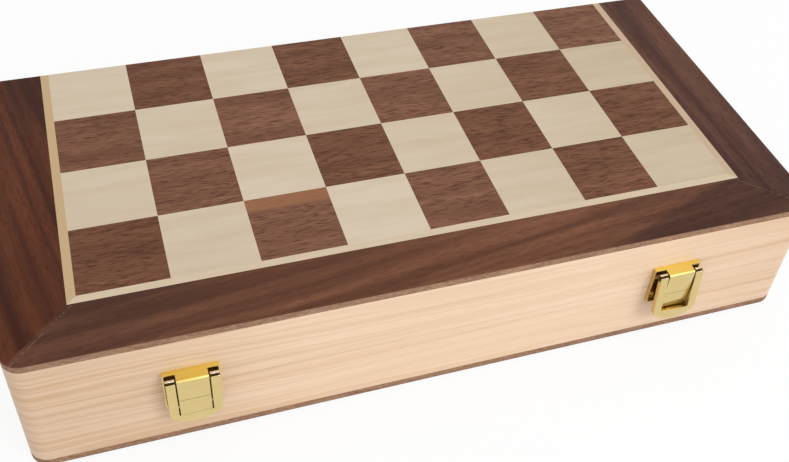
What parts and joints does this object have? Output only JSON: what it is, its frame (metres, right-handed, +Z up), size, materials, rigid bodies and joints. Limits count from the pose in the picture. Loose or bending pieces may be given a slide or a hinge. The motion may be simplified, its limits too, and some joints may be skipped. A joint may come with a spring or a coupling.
{
  "type": "folding chess set",
  "caption": "Folding wooden chess box: hinged half-boxes with an inlaid board outside, brass latches in front, and chessmen in fitted foam beds inside.",
  "frame": {"origin": "middle of the closed box's flat underside, where it rests on a table; latches and hinges aren't counted in that middle", "axes": "+X along the fold to the right as seen from the latches' side, +Y from the latches to the hinges, +Z up through the closed box"},
  "size_m": [0.38, 0.202, 0.07],
  "materials": {
    "walnut_border": "satin varnished walnut",
    "dark_squares": "satin varnished walnut veneer",
    "light_squares": "satin varnished maple veneer",
    "stringing": "satin varnished maple strip",
    "wall_wood": "satin clear-varnished pale wood",
    "board_core": "unfinished plywood",
    "latch_brass": "polished brass plate",
    "hinge_brass": "polished brass",
    "foam": "flocked foam",
    "light_men": "satin varnished boxwood",
    "dark_men": "satin varnished walnut"
  },
  "bodies": {
    "lower_half": {"lower_board_core": "board_core", "lower_dark_squares": "dark_squares", "lower_light_squares": "light_squares", "lower_stringing": "stringing", "lower_left_border": "walnut_border", "lower_front_border": "walnut_border", "lower_right_border": "walnut_border", "lower_front_wall": "wall_wood", "lower_left_wall": "wall_wood", "lower_right_wall": "wall_wood", "lower_back_wall": "wall_wood", "lower_foam_bed": "foam", "light_king": "light_men", "light_queen": "light_men", "light_bishops": "light_men", "light_knights": "light_men", "light_rooks": "light_men", "light_pawns": "light_men", "left_hinge_lower_leaf": "hinge_brass", "left_hinge_pin": "hinge_brass", "left_latch_catch": "latch_brass", "right_hinge_lower_leaf": "hinge_brass", "right_hinge_pin": "hinge_brass", "right_latch_catch": "latch_brass"},
    "upper_half": {"upper_board_core": "board_core", "upper_dark_squares": "dark_squares", "upper_light_squares": "light_squares", "upper_stringing": "stringing", "upper_left_border": "walnut_border", "upper_front_border": "walnut_border", "upper_right_border": "walnut_border", "upper_front_wall": "wall_wood", "upper_left_wall": "wall_wood", "upper_right_wall": "wall_wood", "upper_back_wall": "wall_wood", "upper_foam_bed": "foam", "dark_king": "dark_men", "dark_queen": "dark_men", "dark_bishops": "dark_men", "dark_knights": "dark_men", "dark_rooks": "dark_men", "dark_pawns": "dark_men", "left_hinge_upper_leaf": "hinge_brass", "left_latch_plate": "latch_brass", "left_latch_pin": "latch_brass", "right_hinge_upper_leaf": "hinge_brass", "right_latch_plate": "latch_brass", "right_latch_pin": "latch_brass"},
    "left_latch_lever": {"left_latch_lever": "latch_brass"},
    "right_latch_lever": {"right_latch_lever": "latch_brass"}
  },
  "joints": [
    {"name": "lid_hinge", "type": "hinge", "parent": "lower_half", "child": "upper_half", "pos_m": [0, 0.09515, 0.035], "axis": [-1, 0, 0], "range_deg": [0, 180]},
    {"name": "left_lever_hinge", "type": "hinge", "parent": "upper_half", "child": "left_latch_lever", "pos_m": [-0.1175, -0.1004, 0.0464], "axis": [-1, 0, 0], "range_deg": [0, 165]},
    {"name": "right_lever_hinge", "type": "hinge", "parent": "upper_half", "child": "right_latch_lever", "pos_m": [0.1175, -0.1004, 0.0464], "axis": [-1, 0, 0], "range_deg": [-6, 159]}
  ]
}
